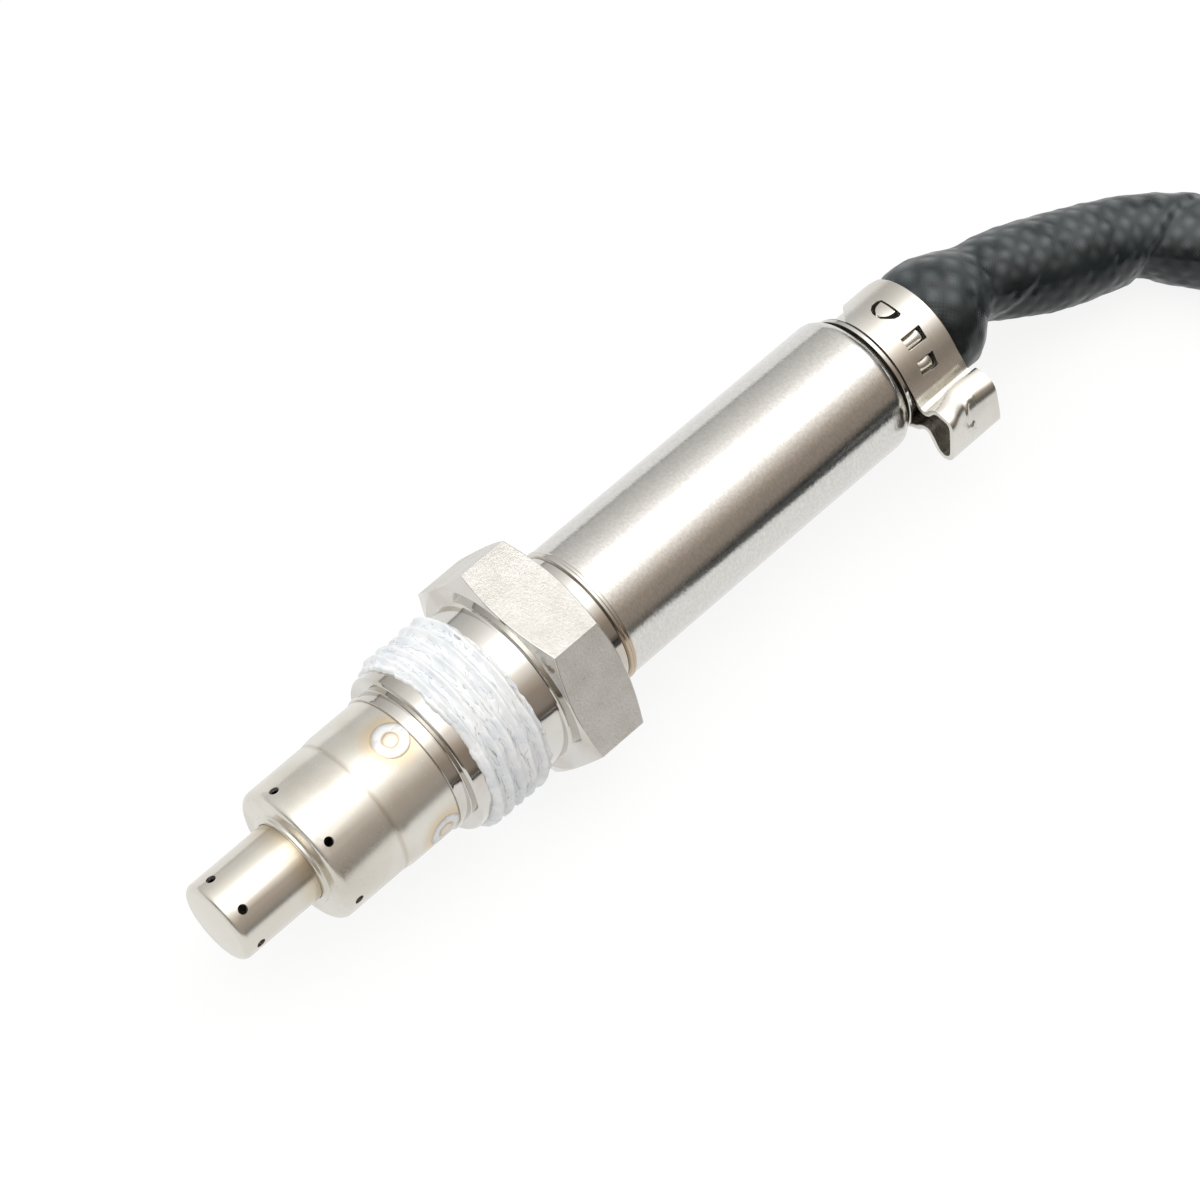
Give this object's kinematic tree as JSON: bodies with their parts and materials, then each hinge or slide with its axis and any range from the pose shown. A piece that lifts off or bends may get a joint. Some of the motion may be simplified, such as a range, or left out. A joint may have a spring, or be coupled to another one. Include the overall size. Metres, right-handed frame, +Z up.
{
  "type": "nitrogen oxide sensor",
  "caption": "Screw-in exhaust gas sensor with a perforated double guard, hexagon housing, steel sleeve, and a woven hose held by an ear clamp, ending in a plug.",
  "frame": {"origin": "on the sensor's axis, in the plane of the sealing face", "axes": "+X along the sensor's axis from the gas end to the hose, +Z up, with one flat of the hexagon facing down"},
  "size_m": [0.1888, 0.1575, 0.022],
  "materials": {
    "guard_steel": "satin",
    "housing_steel": "satin",
    "sleeve_steel": "satin",
    "weld_tint": "satin",
    "clamp_steel": "satin",
    "spring_steel": "satin",
    "white_ceramic": "matte",
    "talc": "matte",
    "contact_gold": "satin",
    "black_rubber": "matte",
    "wire_white": "satin",
    "woven_sleeve": "matte",
    "plug_plastic": "matte",
    "seal_rubber": "matte",
    "paste_white": "matte"
  },
  "bodies": {
    "root": {"nose": "guard_steel", "outer_guard": "guard_steel", "housing": "housing_steel", "weld_band": "weld_tint", "sleeve": "sleeve_steel", "sensing_strip": "white_ceramic", "front_ceramic": "white_ceramic", "talc_packing": "talc", "rear_ceramic": "white_ceramic", "press_ring": "spring_steel", "contact_front": "white_ceramic", "contact_rear": "white_ceramic", "contact_springs": "contact_gold", "spring_clip": "spring_steel", "grommet": "black_rubber", "leads": "wire_white", "hose_ferrule": "black_rubber", "end_ring": "clamp_steel", "hose_cuff": "woven_sleeve", "ear_clamp": "clamp_steel", "hose": "woven_sleeve", "hose_tail": "woven_sleeve", "hose_coil": "woven_sleeve", "plug_boot": "black_rubber", "plug_body": "plug_plastic", "plug_pins": "contact_gold", "plug_seal": "seal_rubber", "plug_latch": "plug_plastic"}
  },
  "joints": []
}
